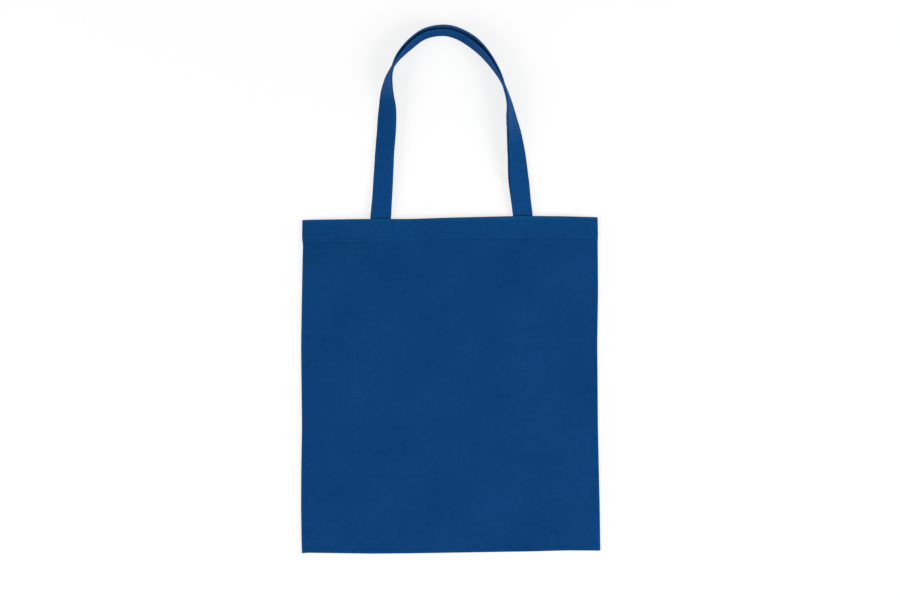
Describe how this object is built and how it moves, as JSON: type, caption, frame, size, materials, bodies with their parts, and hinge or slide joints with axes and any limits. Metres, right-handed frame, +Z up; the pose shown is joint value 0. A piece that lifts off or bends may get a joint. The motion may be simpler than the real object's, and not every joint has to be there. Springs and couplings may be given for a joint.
{
  "type": "cotton tote bag",
  "caption": "Flat cotton tote bag with a hemmed mouth and a pair of long sewn handles, lying empty on its back panel with the handles laid in an arch.",
  "frame": {"origin": "on the surface it lies on, under the middle of the whole object's box", "axes": "+Y from the bottom fold to the mouth and the handles, +X to the right seen from above, +Z up out of the front panel"},
  "size_m": [0.3786, 0.6684, 0.0252],
  "materials": {
    "cotton": "plain-weave cotton, matt",
    "thread": "spun sewing thread, matt"
  },
  "bodies": {
    "root": {"body_cloth": "cotton", "handle_front": "cotton", "handle_rear": "cotton", "mouth_hem_stitching": "thread", "side_seam_overlock_left": "thread", "side_seam_overlock_right": "thread", "edge_stitching_front_outer": "thread", "edge_stitching_front_inner": "thread", "edge_stitching_rear_outer": "thread", "edge_stitching_rear_inner": "thread", "box_stitching_front_left": "thread", "box_stitching_front_right": "thread", "box_stitching_rear_left": "thread", "box_stitching_rear_right": "thread"}
  },
  "joints": []
}
